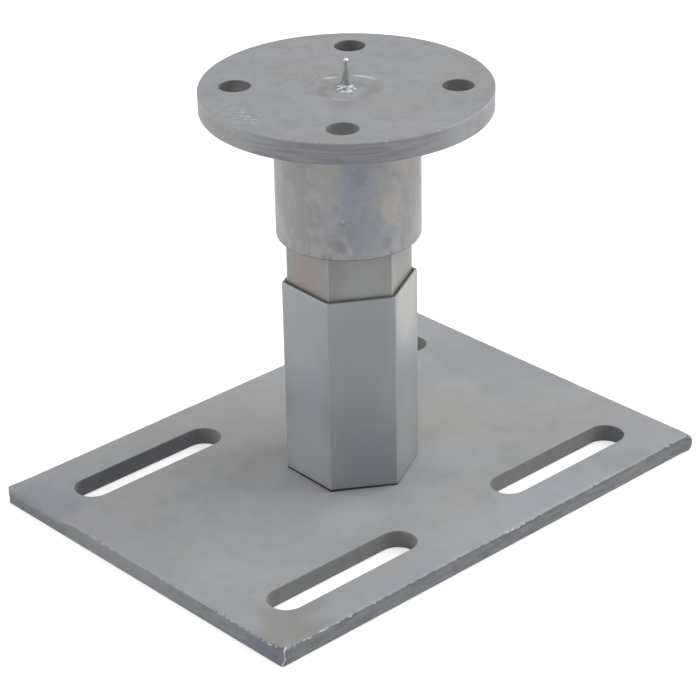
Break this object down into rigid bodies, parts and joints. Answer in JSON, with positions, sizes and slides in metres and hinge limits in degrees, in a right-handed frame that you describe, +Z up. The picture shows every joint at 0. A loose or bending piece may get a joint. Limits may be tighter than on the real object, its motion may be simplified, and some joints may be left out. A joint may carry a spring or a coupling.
{
  "type": "adjustable post base",
  "caption": "Height-adjustable post base: slotted rectangular foot plate, hexagon turnbuckle nut in a hexagonal cover tube, round sleeve, and drilled round head plate with a centring spike.",
  "frame": {"origin": "centre of the base plate's underside, on the axis of both spindles", "axes": "+Z up the spindles to the head plate, +X along the slots and the plate's long side, +Y across the plate"},
  "size_m": [0.24, 0.175, 0.193],
  "materials": {
    "galvanised_plate": "hot-dip galvanised, matte",
    "galvanised_sleeve": "hot-dip galvanised, matte",
    "cover_zinc": "zinc plated, satin",
    "nut_zinc": "hot-dip galvanised, warm grey",
    "spindle_steel": "galvanised thread, greased",
    "spike_steel": "galvanised, bright tip",
    "weld": "weld metal under zinc"
  },
  "bodies": {
    "base": {"base_plate": "galvanised_plate", "lower_spindle": "spindle_steel", "lower_plug_weld": "weld", "lower_fillet_weld": "weld"},
    "cover": {"cover_tube": "cover_zinc"},
    "nut": {"adjusting_nut": "nut_zinc"},
    "head": {"head_plate": "galvanised_plate", "upper_spindle": "spindle_steel", "head_plug_weld": "weld", "head_sleeve": "galvanised_sleeve", "sleeve_weld": "weld", "centring_spike": "spike_steel", "spike_weld": "weld"}
  },
  "joints": [
    {"name": "nut_turn", "type": "hinge", "parent": "base", "child": "cover", "pos_m": [0, 0, 0.0087], "axis": [0, 0, 1], "range_deg": [-1044, 2016]},
    {"name": "nut_rise", "type": "slide", "parent": "cover", "child": "nut", "axis": [0, 0, 1], "range_m": [-0.01025, 0.0197]},
    {"name": "head_lift", "type": "slide", "parent": "base", "child": "head", "axis": [0, 0, 1], "range_m": [-0.0204, 0.0393]}
  ],
  "couplings": [
    {"joint": "nut_rise", "follows": "nut_turn", "m_per_rad": 0.00055704},
    {"joint": "head_lift", "follows": "nut_turn", "m_per_rad": 0.0011141}
  ]
}
